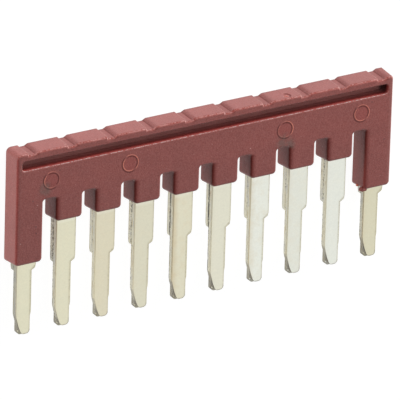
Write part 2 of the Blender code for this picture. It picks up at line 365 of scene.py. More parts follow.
def loft(name, sections):
    """A closed piece through a stack of outlines with equal numbers of points, each with its height."""
    work = bmesh.new()
    rings = [[work.verts.new((x, y, height)) for x, y in outline] for outline, height in sections]
    for ring, above in zip(rings, rings[1:]):
        for index in range(len(ring)):
            work.faces.new((ring[index - 1], ring[index], above[index], above[index - 1]))
    for ring in (rings[0], rings[-1]):
        work.faces.new(ring)
    bmesh.ops.recalc_face_normals(work, faces=work.faces)
    mesh = bpy.data.meshes.new(name)
    work.to_mesh(mesh)
    work.free()
    return link(name, mesh)


def plate(name, outline, low, high):
    """A flat piece with the given outline between two heights."""
    return loft(name, [(outline, low), (outline, high)])


def lies_at(face, height):
    """True for a face whose corners all lie at one height."""
    return all(abs(vertex.co.z - height) < SAME_HEIGHT for vertex in face.verts)


def round_edges(piece, height, radius, segments):
    """Round the edges of a plate's face at a height."""
    work = bmesh.new()
    work.from_mesh(piece.data)
    outline = set()
    for face in work.faces:
        if lies_at(face, height):
            outline.update(face.edges)
    bmesh.ops.bevel(
        work,
        geom=list(outline),
        offset=radius,
        segments=segments,
        profile=0.5,
        affect="EDGES",
    )
    work.to_mesh(piece.data)
    work.free()


def cut(piece, cutters):
    """Cut a piece with closed cutters, which are then removed."""
    for cutter in cutters:
        boolean = piece.modifiers.new(cutter.name, "BOOLEAN")
        boolean.operation = "DIFFERENCE"
        boolean.solver = "EXACT"
        boolean.object = cutter
    settle(piece)
    for cutter in cutters:
        bpy.data.objects.remove(cutter)


def settle(piece):
    """Turn a piece's modifiers into mesh."""
    bpy.context.view_layer.update()
    shape = piece.evaluated_get(bpy.context.evaluated_depsgraph_get())
    mesh = bpy.data.meshes.new_from_object(shape)
    piece.modifiers.clear()
    piece.data = mesh


def smooth(piece):
    """Smooth shading over the roundings, with flat faces kept flat."""
    piece.data.shade_smooth()
    piece.data.set_sharp_from_angle(angle=SMOOTH_ANGLE)
    weighted = piece.modifiers.new("weighted_normals", "WEIGHTED_NORMAL")
    weighted.keep_sharp = True


def pin_corners(x, drop, inset):
    """One pin below its bus bar, down its straight left side and up its stepped right side."""
    tip = TIP_Y - drop
    shoulder_top = LEG_FOOT - NECK_BELOW_LEGS - drop
    shoulder_foot = shoulder_top - SHOULDER_DROP
    return [
        *[(x - out * MM + inset, tip + rise * MM, radius * MM) for out, rise, radius in TIP_CUT],
        (x + BLADE_INNER_EDGE, tip, TIP_RADIUS),
        (x + BLADE_INNER_EDGE, shoulder_foot, SHOULDER_ROOT_RADIUS),
        (x + NECK_HALF_WIDTH - SHOULDER_KNEE_IN, shoulder_foot + SHOULDER_KNEE_RISE, SHOULDER_RADIUS),
        (x + NECK_HALF_WIDTH, shoulder_top, SHOULDER_RADIUS),
    ]


def comb_outline(drop, inset):
    """Outline of a contact comb: the bus bar along the top and a pin at each pole."""
    bus_half = SPAN / 2 + NECK_HALF_WIDTH
    bus_floor = GAP_ROOF + BUS_FLOOR
    bus_top = bus_floor + BUS_HEIGHT
    corners = [(bus_half, bus_top, 0), (inset - bus_half, bus_top, 0)]
    for number in range(POLES):
        x = pole_x(number)
        if number > 0:
            corners.append((x - NECK_HALF_WIDTH + inset, bus_floor, 0))
        corners += pin_corners(x, drop, inset)
        if number < POLES - 1:
            corners.append((x + NECK_HALF_WIDTH, bus_floor, 0))
    return rounded(corners)


def pocket_outline():
    """Outline of the pocket that holds both combs, open at the foot of every leg."""
    neck = NECK_HALF_WIDTH + POCKET_CLEARANCE
    low = GAP_ROOF + BUS_FLOOR - POCKET_CLEARANCE
    high = low + BUS_HEIGHT + 2 * POCKET_CLEARANCE
    foot = LEG_FOOT - FOOT_SLANT - NECK_BELOW_LEGS
    outline = [(SPAN / 2 + neck, high), (-SPAN / 2 - neck, high)]
    for number in range(POLES):
        x = pole_x(number)
        if number > 0:
            outline.append((x - neck, low))
        outline += [(x - neck, foot), (x + neck, foot)]
        if number < POLES - 1:
            outline.append((x + neck, low))
    return outline


def housing_outline(foot_drop, right_radius):
    """Outline of the housing: the rail with its top grooves, eight short legs and two long ones."""
    corners = [(HALF_LENGTH, RAIL_TOP, right_radius)]
    for number in reversed(range(POLES)):
        left = pole_x(number) - GROOVE_START
        floor_left = left + GROOVE_STEEP_SIDE
        floor_right = floor_left + GROOVE_FLOOR
        corners += [
            (floor_right + GROOVE_SLOPED_SIDE, RAIL_TOP, 0),
            (floor_right, RAIL_TOP - GROOVE_DEPTH, 0),
            (floor_left, RAIL_TOP - GROOVE_DEPTH, 0),
            (left, RAIL_TOP, 0),
        ]
    corners.append((-HALF_LENGTH, RAIL_TOP, RAIL_LEFT_RADIUS))
    for number in range(POLES):
        ends_bar = number in (0, POLES - 1)
        foot = (LEG_FOOT if ends_bar else GAP_ROOF - SHORT_LEG_DROP) - foot_drop
        left = pole_x(number) - LEG_HALF_WIDTH
        right = pole_x(number) + LEG_HALF_WIDTH
        if number == 0:
            left = -HALF_LENGTH
        else:
            corners.append((left, GAP_ROOF, GAP_ROOF_RADIUS))
        if number == POLES - 1:
            right = HALF_LENGTH
        corners += [(left, foot, LEG_CORNER_RADIUS), (right, foot, LEG_CORNER_RADIUS)]
        if number < POLES - 1:
            corners.append((right, GAP_ROOF, GAP_ROOF_RADIUS))
    return rounded(corners)


def slot_outline(growth):
    """Outline of the front slot, widened all round."""
    end = HALF_LENGTH - SLOT_END_WALL + growth
    low = GAP_ROOF + SLOT_RISE - growth
    high = GAP_ROOF + SLOT_RISE + SLOT_HEIGHT + growth
    radius = SLOT_CORNER_RADIUS + growth
    return rounded([(end, high, radius), (-end, high, radius), (-end, low, radius), (end, low, radius)])


def slot_cutter():
    """The front slot with its rounded lip, which opens out to the front face in a quarter circle."""
    lip_foot = THICKNESS - SLOT_LIP_RADIUS
    sections = [(slot_outline(0), THICKNESS - SLOT_DEPTH)]
    for step in range(EDGE_SEGMENTS + 1):
        angle = math.pi / 2 * step / EDGE_SEGMENTS
        growth = SLOT_LIP_RADIUS * (1 - math.cos(angle))
        sections.append((slot_outline(growth), lip_foot + SLOT_LIP_RADIUS * math.sin(angle)))
    sections.append((slot_outline(SLOT_LIP_RADIUS), THICKNESS + SLOT_DEPTH))
    return loft("slot_cutter", sections)


def mark_cutter(number):
    """The ring groove of a round mark, sunk in the front face."""
    bpy.ops.mesh.primitive_torus_add(
        major_radius=MARK_RADIUS,
        minor_radius=MARK_GROOVE_RADIUS,
        major_segments=MARK_SEGMENTS,
        minor_segments=MARK_GROOVE_SEGMENTS,
        location=(pole_x(number - 0.5) + MARK_SHIFT, GAP_ROOF + MARK_RISE, THICKNESS + MARK_LIFT),
    )
    return bpy.context.object


def scar_cutter():
    """A ball that leaves the shallow round scar of the mould's gate in the rail's top."""
    radius = (GATE_SCAR_RADIUS ** 2 + GATE_SCAR_DEPTH ** 2) / (2 * GATE_SCAR_DEPTH)
    x, z = (place * MM for place in GATE_SCAR)
    centre = (x, RAIL_TOP + radius - GATE_SCAR_DEPTH, z)
    bpy.ops.mesh.primitive_ico_sphere_add(subdivisions=SCAR_SUBDIVISIONS, radius=radius, location=centre)
    return bpy.context.object


def build_housing():
    """The housing, with feet that slant lower towards the rear."""
    rear = housing_outline(FOOT_SLANT, RAIL_RIGHT_RADIUS_REAR)
    front = housing_outline(0, RAIL_RIGHT_RADIUS_FRONT)
    housing = loft("housing_moulding", [(rear, 0), (front, THICKNESS)])
    round_edges(housing, 0, REAR_EDGE_RADIUS, EDGE_SEGMENTS)
    round_edges(housing, THICKNESS, FRONT_EDGE_RADIUS, EDGE_SEGMENTS)
    pocket_low = THICKNESS - LEAF_HIGH - POCKET_CLEARANCE
    pocket = plate("pocket_cutter", pocket_outline(), pocket_low, LEAF_HIGH + POCKET_CLEARANCE)
    marks = [mark_cutter(number) for number in MARK_GAPS]
    cut(housing, [slot_cutter(), pocket, scar_cutter(), *marks])
    smooth(housing)
    return housing


def build_comb(name, drop, inset, turned):
    """A contact comb with die-rolled edges on its outer face."""
    comb = plate(name, comb_outline(drop, inset), LEAF_LOW, LEAF_HIGH)
    round_edges(comb, LEAF_HIGH, DIE_ROLL, DIE_ROLL_SEGMENTS)
    if turned:
        comb.data.transform(Matrix.Translation((0, 0, THICKNESS)) @ Matrix.Rotation(math.pi, 4, "Y"))
    smooth(comb)
    return comb


def build_flash():
    """Torn plastic: lumps and a loose fleck beside the last pin, and a lump in the gate scar."""
    work = bmesh.new()
    for x, y, z, across, along, deep in FLASH_LUMPS:
        place = Matrix.Translation(Vector((x, y, z)) * MM)
        size = Matrix.Diagonal(Vector((across, along, deep, 1 / MM)) * MM)
        bmesh.ops.create_icosphere(work, subdivisions=LUMP_SUBDIVISIONS, radius=1, matrix=place @ size)
    for vertex in work.verts:
        shift = noise.noise(vertex.co * FLASH_WAVES / MM)
        vertex.co += Vector(FLASH_LEAN) * shift * FLASH_UNEVEN
    mesh = bpy.data.meshes.new("moulding_flash")
    work.to_mesh(mesh)
    work.free()
    mesh.shade_smooth()
    return link("moulding_flash", mesh)


class Nodes:
    """A tree of shader nodes. Values are numbers, colours or sockets of other nodes."""

    def __init__(self, tree):
        self.tree = tree

    def feed(self, socket, value):
        """Link a socket to another one, or set its value. None leaves it as it is."""
        if isinstance(value, bpy.types.NodeSocket):
            self.tree.links.new(value, socket)
        elif value is not None:
            socket.default_value = value

    def node(self, kind, *values, **settings):
        """A node with its settings made and its inputs fed in their order."""
        made = self.tree.nodes.new(kind)
        for name, value in settings.items():
            setattr(made, name, value)
        for socket, value in zip(made.inputs, values):
            self.feed(socket, value)
        return made

    def math(self, operation, *values):
        """The result of one operation."""
        return self.node("ShaderNodeMath", *values, operation=operation).outputs[0]

    def above(self, value, low, high):
        """0 up to low and 1 from high on. With low over high it falls from 1 to 0."""
        return self.node("ShaderNodeMapRange", value, low, high, interpolation_type="SMOOTHSTEP").outputs[0]

    def spread(self, value, low, high, start=0, end=1):
        """A straight run from low to high, as the value goes from start to end."""
        return self.node("ShaderNodeMapRange", value, start, end, low, high).outputs[0]


class Painter(Nodes):
    """The nodes of one material. Places are in millimetres, and masks run from 0 to 1."""

    def __init__(self, name):
        self.material = bpy.data.materials.new(name)
        self.material.use_nodes = True
        super().__init__(self.material.node_tree)
        self.shader = self.tree.nodes["Principled BSDF"]
        coordinates = self.node("ShaderNodeTexCoord")
        scaled = self.node("ShaderNodeVectorMath", coordinates.outputs["Object"], operation="SCALE")
        scaled.inputs["Scale"].default_value = 1 / MM
        self.place = scaled.outputs[0]
        self.x, self.y, self.z = self.node("ShaderNodeSeparateXYZ", self.place).outputs
        facing = self.node("ShaderNodeSeparateXYZ", coordinates.outputs["Normal"])
        self.normal_x, self.normal_y, self.normal_z = facing.outputs

    def surface(self, name, value):
        """Feed one input of the material's shader."""
        self.feed(self.shader.inputs[name], value)

    def all_of(self, first, *others):
        """The product of masks and amounts."""
        for other in others:
            first = self.math("MULTIPLY", first, other)
        return first

    def any_of(self, first, *others):
        """The strongest of some masks."""
        for other in others:
            first = self.math("MAXIMUM", first, other)
        return first

    def between(self, value, low, high, soft):
        """1 from low to high, with soft ends."""
        rising = self.above(value, low - soft, low + soft)
        return self.math("MULTIPLY", rising, self.above(value, high + soft, high - soft))

    def local_x(self):
        """Place along the bar from the centre of the nearest pole."""
        shifted = self.math("ADD", self.x, POLES * POLE_STEP / 2)
        return self.math("SUBTRACT", self.math("MODULO", shifted, POLE_STEP), POLE_STEP / 2)

    def length(self, across, along):
        """Length of a step across and along."""
        squares = self.math("ADD", self.math("POWER", across, 2), self.math("POWER", along, 2))
        return self.math("SQRT", squares)

    def distance(self, x, y):
        """Distance from a place on the front face, whatever the depth."""
        return self.length(self.math("SUBTRACT", self.x, x), self.math("SUBTRACT", self.y, y))

    def spots(self, places, edge, core):
        """Round spots on the front face, full within the core and gone at the edge."""
        return self.any_of(*[self.above(self.distance(x, y), edge, core) for x, y in places])

    def noise(self, scale, detail=2, roughness=0.5, place=None):
        """Noise of a number of waves to the millimetre."""
        made = self.node("ShaderNodeTexNoise")
        self.feed(made.inputs["Vector"], place or self.place)
        made.inputs["Scale"].default_value = scale
        made.inputs["Detail"].default_value = detail
        made.inputs["Roughness"].default_value = roughness
        return made.outputs[0]

    def varied(self, value, low, high):
        """Noise turned into a factor between two values."""
        return self.spread(value, low, high, 0.3, 0.7)

    def by_pin(self, values):
        """One value or colour for each pin, from the left."""
        share = self.math("DIVIDE", self.math("ADD", self.x, POLES * POLE_STEP / 2), POLES * POLE_STEP)
        ramp = self.node("ShaderNodeValToRGB", share)
        elements = ramp.color_ramp.elements
        ramp.color_ramp.interpolation = "CONSTANT"
        while len(elements) < len(values):
            elements.new(1)
        for number, value in enumerate(values):
            elements[number].position = number / len(values)
            elements[number].color = value if isinstance(value, tuple) else (value, value, value, 1)
        return ramp.outputs["Color"]

    def mixed(self, mask, first, second, blend="MIX"):
        """Two colours mixed by a mask."""
        made = self.node("ShaderNodeMix", data_type="RGBA", blend_type=blend)
        sockets = {socket.identifier: socket for socket in made.inputs}
        for name, value in (("Factor_Float", mask), ("A_Color", first), ("B_Color", second)):
            self.feed(sockets[name], value)
        return next(socket for socket in made.outputs if socket.identifier == "Result_Color")

    def layered(self, base, coats):
        """A base colour with coats laid over it in turn, each given as (mask, amount, colour)."""
        for mask, amount, colour in coats:
            base = self.mixed(self.all_of(mask, amount), base, colour)
        return base

    def toned(self, colour, *factors):
        """A colour times some factors."""
        return self.mixed(1, colour, self.all_of(*factors), "MULTIPLY")

    def bumpy(self, height, strength, depth):
        """Fine relief on the surface."""
        bump = self.node("ShaderNodeBump")
        bump.inputs["Strength"].default_value = strength
        bump.inputs["Distance"].default_value = depth
        self.feed(bump.inputs["Height"], height)
        self.surface("Normal", bump.outputs[0])


# In the masks, a bare number is a distance in millimetres from a named place, a share of a surface's
# facing or a level of noise. Two numbers that belong together are the mask's two edges


def groove_masks(paint, near_top, on_top):
    """Painted light in the top's grooves: shade on their sloped side, darker at its foot and at its front
    end, and a highlight on the steep side's edge.
    """
    local = paint.local_x()
    inner_top = paint.all_of(near_top, on_top, paint.above(paint.z, FRONT - 0.10, FRONT - 0.40))
    slope = paint.all_of(
        paint.above(local, SLOPE_FOOT - 0.05, SLOPE_FOOT + 0.05),
        paint.above(local, SLOPE_TOP + 0.45, SLOPE_FOOT + 0.10),
        inner_top,
    )
    foot = paint.all_of(paint.between(local, SLOPE_FOOT - 0.02, SLOPE_FOOT + 0.15, 0.06), inner_top)
    front_end = paint.all_of(
        paint.between(local, SLOPE_FOOT, SLOPE_TOP + 0.1, 0.08),
        paint.between(paint.y, TOP - 0.45, TOP - 0.02, 0.05),
        paint.above(paint.z, FRONT - 0.42, FRONT - 0.12),
    )
    steep_edge = paint.all_of(paint.between(local, STEEP_EDGE - 0.04, STEEP_EDGE + 0.06, 0.05), near_top)
    return slope, foot, front_end, steep_edge


def scar_shade_mask(paint, near_top):
    """Painted shade on the right side of the gate scar's rim."""
    across = paint.math("SUBTRACT", paint.x, GATE_SCAR[0])
    deep = paint.math("SUBTRACT", paint.z, GATE_SCAR[1])
    off_ring = paint.math("ABSOLUTE", paint.math("SUBTRACT", paint.length(across, deep), GATE_SCAR_RING))
    return paint.all_of(near_top, paint.above(off_ring, 0.17, 0.06), paint.above(across, -0.05, 0.15))


def slot_masks(paint):
    """The inside of the slot in saturated painted shade, and in it painted light on the rear wall and painted
    shade at the right end.
    """
    inside = paint.all_of(
        paint.between(paint.y, SLOT_LOW - 0.02, SLOT_HIGH + 0.02, 0.02),
        paint.above(paint.z, FRONT - 0.06, FRONT - 0.16),
        paint.above(paint.z, 0.4, 0.8),
        paint.between(paint.x, LEFT_END + 0.6, RIGHT_END - 0.6, 0.05),
    )
    rear_wall = paint.all_of(inside, paint.above(paint.z, FRONT - 0.55, FRONT - 1.25))
    right_end = paint.all_of(
        inside,
        paint.above(paint.x, RIGHT_END - 1.30, RIGHT_END - 0.68),
        paint.above(paint.z, FRONT - 0.15, FRONT - 0.75),
    )
    return inside, rear_wall, right_end


def edge_masks(paint):
    """Painted shade down the left edges of the legs, and a narrow band and a softer shade, both painted, down
    the rail's left end.
    """
    past_edge = paint.math("SUBTRACT", paint.local_x(), LEG_EDGE)
    leg_edge_shade = paint.all_of(
        paint.above(past_edge, 0.75, 0.05),
        paint.above(past_edge, -0.3, -0.1),
        paint.above(paint.z, FRONT - 0.95, FRONT - 0.25),
        paint.above(paint.y, ROOF + 0.15, ROOF - 0.10),
        paint.above(paint.x, FIRST_POLE, FIRST_POLE + 1),
    )
    below_rim = paint.above(paint.y, TOP - 0.3, TOP - 0.6)
    end_edge_shade = paint.all_of(
        paint.above(paint.x, LEFT_END + 0.45, LEFT_END + 0.15),
        paint.between(paint.z, FRONT - 0.22, FRONT + 1, 0.10),
        below_rim,
    )
    end_shade = paint.all_of(
        paint.between(paint.x, LEFT_END + 0.05, LEFT_END + 0.45, 0.25),
        paint.above(paint.z, FRONT - 0.5, FRONT - 0.2),
        below_rim,
    )
    return leg_edge_shade, end_edge_shade, end_shade


def mark_masks(paint):
    """The discs inside the round marks, and painted shade on their rings' slopes away from the lamp and
    painted highlight on those towards it, so that each ring looks raised.
    """
    discs = []
    ring_shade = []
    lit_rings = []
    lamp_x, lamp_y = MARK_LAMP
    for number, left_light, right_light in zip(MARK_GAPS, MARK_LEFT_LIGHT, MARK_RIGHT_LIGHT):
        centre_x = (pole_x(number - 0.5) + MARK_SHIFT) / MM
        centre_y = (GAP_ROOF + MARK_RISE) / MM
        outward = paint.math("SUBTRACT", paint.distance(centre_x, centre_y), MARK_RADIUS / MM)
        off_ring = paint.math("ABSOLUTE", outward)
        across = paint.math("MULTIPLY", paint.math("SUBTRACT", paint.x, centre_x), lamp_x)
        along = paint.math("MULTIPLY", paint.math("SUBTRACT", paint.y, centre_y), lamp_y)
        slope_light = paint.math("MULTIPLY", outward, paint.math("ADD", across, along))
        light = paint.spread(across, left_light, right_light, -0.3, 0.6)
        discs.append(paint.above(outward, 0, -0.10))
        ring_shade.append(paint.all_of(paint.above(off_ring, 0.22, 0.13), paint.above(slope_light, 0, -0.03)))
        towards_lamp = paint.above(slope_light, 0, 0.025)
        lit_rings.append(paint.all_of(paint.above(off_ring, 0.15, 0.08), towards_lamp, light))
    return paint.any_of(*discs), paint.any_of(*ring_shade), paint.any_of(*lit_rings)


def rim_masks(paint, near_top):
    """The rounded rims: painted highlights on the rail's top and the slot's lower lip, painted reflections on
    the right side and its band and low down, and painted shade on the rear rim.
    """
    rounding = paint.between(paint.normal_z, 0.45, 0.88, 0.10)
    upper = paint.all_of(
        rounding,
        paint.above(paint.normal_y, 0.30, 0.55),
        paint.above(paint.y, ROOF + 3, ROOF + 3.5),
    )
    lip = paint.all_of(
        rounding,
        paint.above(paint.normal_y, 0.20, 0.50),
        paint.between(paint.y, SLOT_LOW - 0.25, SLOT_LOW + 0.03, 0.04),
    )
    right = paint.all_of(rounding, paint.above(paint.normal_x, 0.15, 0.45))
    right_band_reflection = paint.all_of(
        paint.above(paint.x, RIGHT_END - 0.62, RIGHT_END - 0.40),
        paint.above(paint.normal_z, 0.5, 0.9),
    )
    low = paint.all_of(
        rounding,
        paint.above(paint.normal_y, -0.30, -0.60),
        paint.above(paint.y, ROOF + 2, ROOF + 1),
    )
    rear = paint.all_of(paint.above(paint.z, 0.30, 0.10), near_top)
    return upper, lip, right, right_band_reflection, low, rear


def smudge_mask(paint, facing_front):
    """Grey smudges with ragged outlines."""
    smudges = [paint.above(paint.distance(x, y), radius, radius * 0.3) for x, y, radius in SMUDGES]
    return paint.all_of(paint.any_of(*smudges), paint.above(paint.noise(1.6, 3), 0.30, 0.56), facing_front)


def plastic_material():
    """Dull red plastic with a fine matte grain, with painted shade in its corners, grooves and slot, a
    painted sheen on its top and painted highlights on its rims.
    """
    paint = Painter("dull_red_plastic")
    grain = paint.noise(6.2, 3, 0.62)
    blotches = paint.noise(0.55, 3)
    speckle = paint.above(paint.noise(4.6, 3, 0.65), 0.38, 0.60)
    painted_glints = paint.above(paint.noise(5.5, 1), 0.735, 0.80)
    on_top = paint.above(paint.normal_y, 0.55, 0.85)
    near_top = paint.above(paint.y, TOP - 0.5, TOP - 0.3)
    facing_front = paint.above(paint.normal_z, 0.80, 0.97)
    front_skin = paint.above(paint.z, FRONT - 0.6, FRONT - 0.4)
    gap_side = paint.all_of(
        paint.above(paint.normal_x, -0.6, -0.9),
        paint.above(paint.x, LEFT_END + 1, FIRST_POLE),
    )
    slope, slope_foot, slope_end, steep_edge = groove_masks(paint, near_top, on_top)
    scar = scar_shade_mask(paint, near_top)
    in_slot, slot_rear_light, slot_end_shade = slot_masks(paint)
    leg_edge_shade, end_edge_shade, end_shade = edge_masks(paint)
    discs, ring_shade, lit_rings = mark_masks(paint)
    upper_rim_highlight, lip, right_rim, right_band_reflection, low_rim_reflection, rear_rim = rim_masks(paint, near_top)
    smudge = smudge_mask(paint, facing_front)
    dark_specks = paint.spots(DARK_SPECKS, 0.13, 0.04)
    light_specks = paint.spots(LIGHT_SPECKS, 0.10, 0.03)

    colour = paint.layered(PLASTIC_COLOUR, [
        # Painted sheen on the top, then painted shade in the grooves, darkest at the foot and front end, with
        # a painted highlight on each steep edge
        (on_top, 1, PLASTIC_TOP_SHEEN),
        (slope, 0.42, PLASTIC_PAINTED_SHADE),
        (slope_foot, 0.22, PLASTIC_DARK),
        (slope_end, 0.22, PLASTIC_PAINTED_SHADE),
        (steep_edge, 0.40, PLASTIC_LIGHT),
        # Painted shade round the right of the gate scar
        (scar, 0.55, PLASTIC_PAINTED_SHADE),
        # In the slot: saturated painted shade, painted light on the rear wall and painted shade at the right
        # end
        (in_slot, 1, PLASTIC_SATURATED_SHADE),
        (slot_rear_light, 1, PLASTIC_SLOT_REAR_LIGHT),
        (slot_end_shade, 0.80, PLASTIC_SLOT_END_SHADE),
        # Painted shade down the legs' left edges and at the rail's left end
        (leg_edge_shade, 0.45, PLASTIC_PAINTED_SHADE),
        (end_shade, 0.24, PLASTIC_PAINTED_SHADE),
        (end_edge_shade, 0.30, PLASTIC_SATURATED_SHADE),
        # Painted shade along the rear rim, painted reflections on the right and low rims, painted highlights
        # on the top rim and the slot's lip
        (rear_rim, 0.40, PLASTIC_PAINTED_SHADE),
        (right_band_reflection, 0.10, PLASTIC_LIGHT),
        (right_rim, 0.70, PLASTIC_LIGHT),
        (low_rim_reflection, 0.25, PLASTIC_LIGHT),
        (paint.all_of(upper_rim_highlight, speckle), 0.40, PLASTIC_LIGHT),
        (paint.all_of(lip, speckle), 0.70, PLASTIC_LIP_HIGHLIGHT),
        # The marks' discs, and painted shade and highlight on their rings that make each ring look raised
        (paint.all_of(discs, facing_front), 0.80, PLASTIC_DISC),
        (paint.all_of(ring_shade, front_skin), 0.75, PLASTIC_PAINTED_SHADE),
        (paint.all_of(lit_rings, front_skin), 0.90, PLASTIC_ORANGE_AND_RING_HIGHLIGHT),
        (smudge, 0.55, PLASTIC_SMUDGE),
        (paint.all_of(dark_specks, front_skin), 0.70, PLASTIC_DARK),
        (paint.all_of(light_specks, front_skin), 0.80, PLASTIC_LIGHT),
        # Painted glints
        (painted_glints, 0.35, PLASTIC_LIGHT),
    ])
    # Painted light runs along the bar, lighter to the right on the front and darker to the right on the top;
    # grain and blotches vary the tone at random, and the legs are a little darker
    along_front = paint.spread(paint.x, *FRONT_PAINTED_LIGHT, -TONE_REACH, TONE_REACH)
    along_top = paint.spread(paint.x, *TOP_PAINTED_LIGHT, -TONE_REACH, TONE_REACH)
    along_bar = paint.node("ShaderNodeMix", on_top, None, along_front, along_top, data_type="FLOAT")
    tones = [
        paint.varied(grain, 0.87, 1.13),
        paint.varied(blotches, 0.95, 1.05),
        along_bar.outputs[0],
        paint.spread(paint.y, LEG_TONE, 1, ROOF - 1, ROOF + 1.5),
    ]
    paint.surface("Base Color", paint.toned(colour, *tones))

    # The shine fades in the shade, and it is broken up on the rims that carry painted highlights
    sheltered = [
        (slope, 0.5),
        (slope_foot, 0.8),
        (slope_end, 0.4),
        (leg_edge_shade, 0.8),
        (end_edge_shade, 0.3),
        (gap_side, 0.5),
        (in_slot, 1),
        (scar, 1),
        (paint.all_of(front_skin, ring_shade), 0.6),
    ]
    shaded = paint.any_of(*[paint.all_of(mask, amount) for mask, amount in sheltered])
    rims = paint.any_of(lip, upper_rim_highlight)
    dull_rim = paint.math("MULTIPLY", rims, paint.math("SUBTRACT", 1, speckle))
    broken = paint.all_of(paint.above(dull_rim, 1.1, 0), paint.spread(rims, 1, 0.40))
    shine = paint.all_of(paint.spread(shaded, *PLASTIC_SHINE), broken, paint.varied(grain, 0.7, 1.3))
    paint.surface("Specular IOR Level", shine)
    paint.surface("Roughness", PLASTIC_ROUGHNESS)
    paint.bumpy(paint.noise(5.2, 2, 0.6), *PLASTIC_BUMP)
    return paint.material


def flash_material():
    """The housing's plastic where it is thin and torn: redder, and orange at the loose fleck."""
    paint = Painter("torn_red_plastic")
    grain = paint.noise(4.0, 3, 0.6)
    fleck = paint.above(paint.z, 1.8, 1.5)
    in_scar = paint.above(paint.y, TOP - 1.6, TOP - 0.6)
    colour = paint.layered(FLASH_COLOUR, [
        (paint.above(grain, 0.50, 0.70), 0.25, PLASTIC_LIGHT),
        (in_scar, 0.15, PLASTIC_ORANGE_AND_RING_HIGHLIGHT),
        (fleck, 1, PLASTIC_ORANGE_AND_RING_HIGHLIGHT),
    ])
    paint.surface("Base Color", paint.toned(colour, paint.varied(grain, 0.85, 1.15)))
    paint.surface("Roughness", FLASH_ROUGHNESS)
    paint.bumpy(grain, *FLASH_BUMP)
    return paint.material


def pin_rim_masks(paint, facing_front, left_side):
    """The rims of a pin's face. The right one steps in at the shoulder."""
    local = paint.local_x()
    left = paint.any_of(
        paint.all_of(facing_front, paint.above(local, PIN_EDGE + 0.14, PIN_EDGE)),
        paint.all_of(left_side, paint.above(paint.z, FACE - 0.26, FACE - 0.10)),
    )
    right_edge = paint.spread(paint.y, BLADE_EDGE, -PIN_EDGE, SHOULDER - 0.3, SHOULDER + 0.3)
    past_edge = paint.math("SUBTRACT", local, right_edge)
    return left, paint.all_of(facing_front, paint.above(past_edge, -0.24, -0.04))


def seam_masks(paint, left_side, fine):
    """The seam between the leaves, darkened by painted shade in their gap and by stain, and specks and a dark
    rim on the rear one.
    """
    seam_amount = paint.by_pin(PIN_SEAMS)
    reach = paint.math("ADD", paint.z, paint.math("MULTIPLY", seam_amount, 0.40))
    shade_and_stain = paint.all_of(
        left_side,
        paint.above(paint.z, SEAM + 0.15, SEAM + 0.07),
        paint.above(reach, SEAM - 0.10, SEAM - 0.02),
        paint.above(paint.math("ADD", fine, seam_amount), 0.66, 0.76),
    )
    specks = paint.all_of(
        left_side,
        paint.above(paint.z, SEAM + 0.05, SEAM - 0.05),
        paint.above(paint.math("ADD", paint.noise(7.0, 2), paint.by_pin(PIN_SPECKS)), 0.72, 0.84),
    )
    rear_rim = paint.all_of(paint.above(paint.z, 0.86, 0.72), paint.above(paint.normal_x, -0.2, -0.6))
    return shade_and_stain, specks, rear_rim


def tip_masks(paint, facing_front, left_side):
    """The tips: painted shade on the sheared cut at the lower left and a painted shadow on its part towards
    the front edge, painted shade on the side of the rear leaf's tip and on the underside, and the rim round
    the lower right corner."""
    marks = paint.by_pin(PIN_TIPS)
    cut_face = paint.all_of(
        paint.above(paint.normal_x, -0.10, -0.35),
        paint.above(paint.normal_y, -0.04, -0.20),
        paint.above(paint.y, TIP + 2.8, TIP + 2.2),
        marks,
    )
    cut_edge_shadow = paint.all_of(
        cut_face,
        paint.above(paint.z, FACE - 0.55, FACE - 0.05),
        paint.above(paint.y, TIP + 2.2, TIP + 0.7),
    )
    rear_tip_shade = paint.all_of(
        left_side,
        paint.above(paint.z, SEAM + 0.1, SEAM),
        paint.above(paint.y, TIP + 2.0, TIP + 1.2),
        paint.math("MULTIPLY", paint.math("ADD", marks, 1), 0.5),
    )
    beside = paint.math("MAXIMUM", paint.math("SUBTRACT", paint.local_x(), BLADE_EDGE - TIP_ROUND), 0)
    below = paint.math("MAXIMUM", paint.math("SUBTRACT", TIP + TIP_ROUND, paint.y), 0)
    rim = paint.all_of(
        facing_front,
        paint.above(paint.length(beside, below), TIP_ROUND - 0.18, TIP_ROUND - 0.02),
        paint.above(paint.y, TIP + 0.9, TIP + 0.3),
    )
    underside = paint.all_of(
        paint.above(paint.normal_y, -0.10, -0.40),
        paint.above(paint.y, TIP + 1.2, TIP + 0.7),
    )
    return cut_face, cut_edge_shadow, rear_tip_shade, rim, underside


def side_colour(paint, fine):
    """The sheared sides of the leaves: pale, with grey and tan streaks along the pins."""
    drawn_out = paint.node("ShaderNodeVectorMath", paint.place, STREAK_SCALE, operation="MULTIPLY")
    streaks = paint.noise(1.5, 3, 0.6, drawn_out.outputs[0])
    side = paint.layered(SIDE_PALE, [
        (paint.above(streaks, 0.50, 0.62), 1, SIDE_GREY),
        (paint.above(streaks, 0.46, 0.36), 1, SIDE_TAN),
        (paint.above(fine, 0.56, 0.68), 0.3, SIDE_BROWN),
    ])
    return paint.toned(side, paint.by_pin(PIN_SIDES))


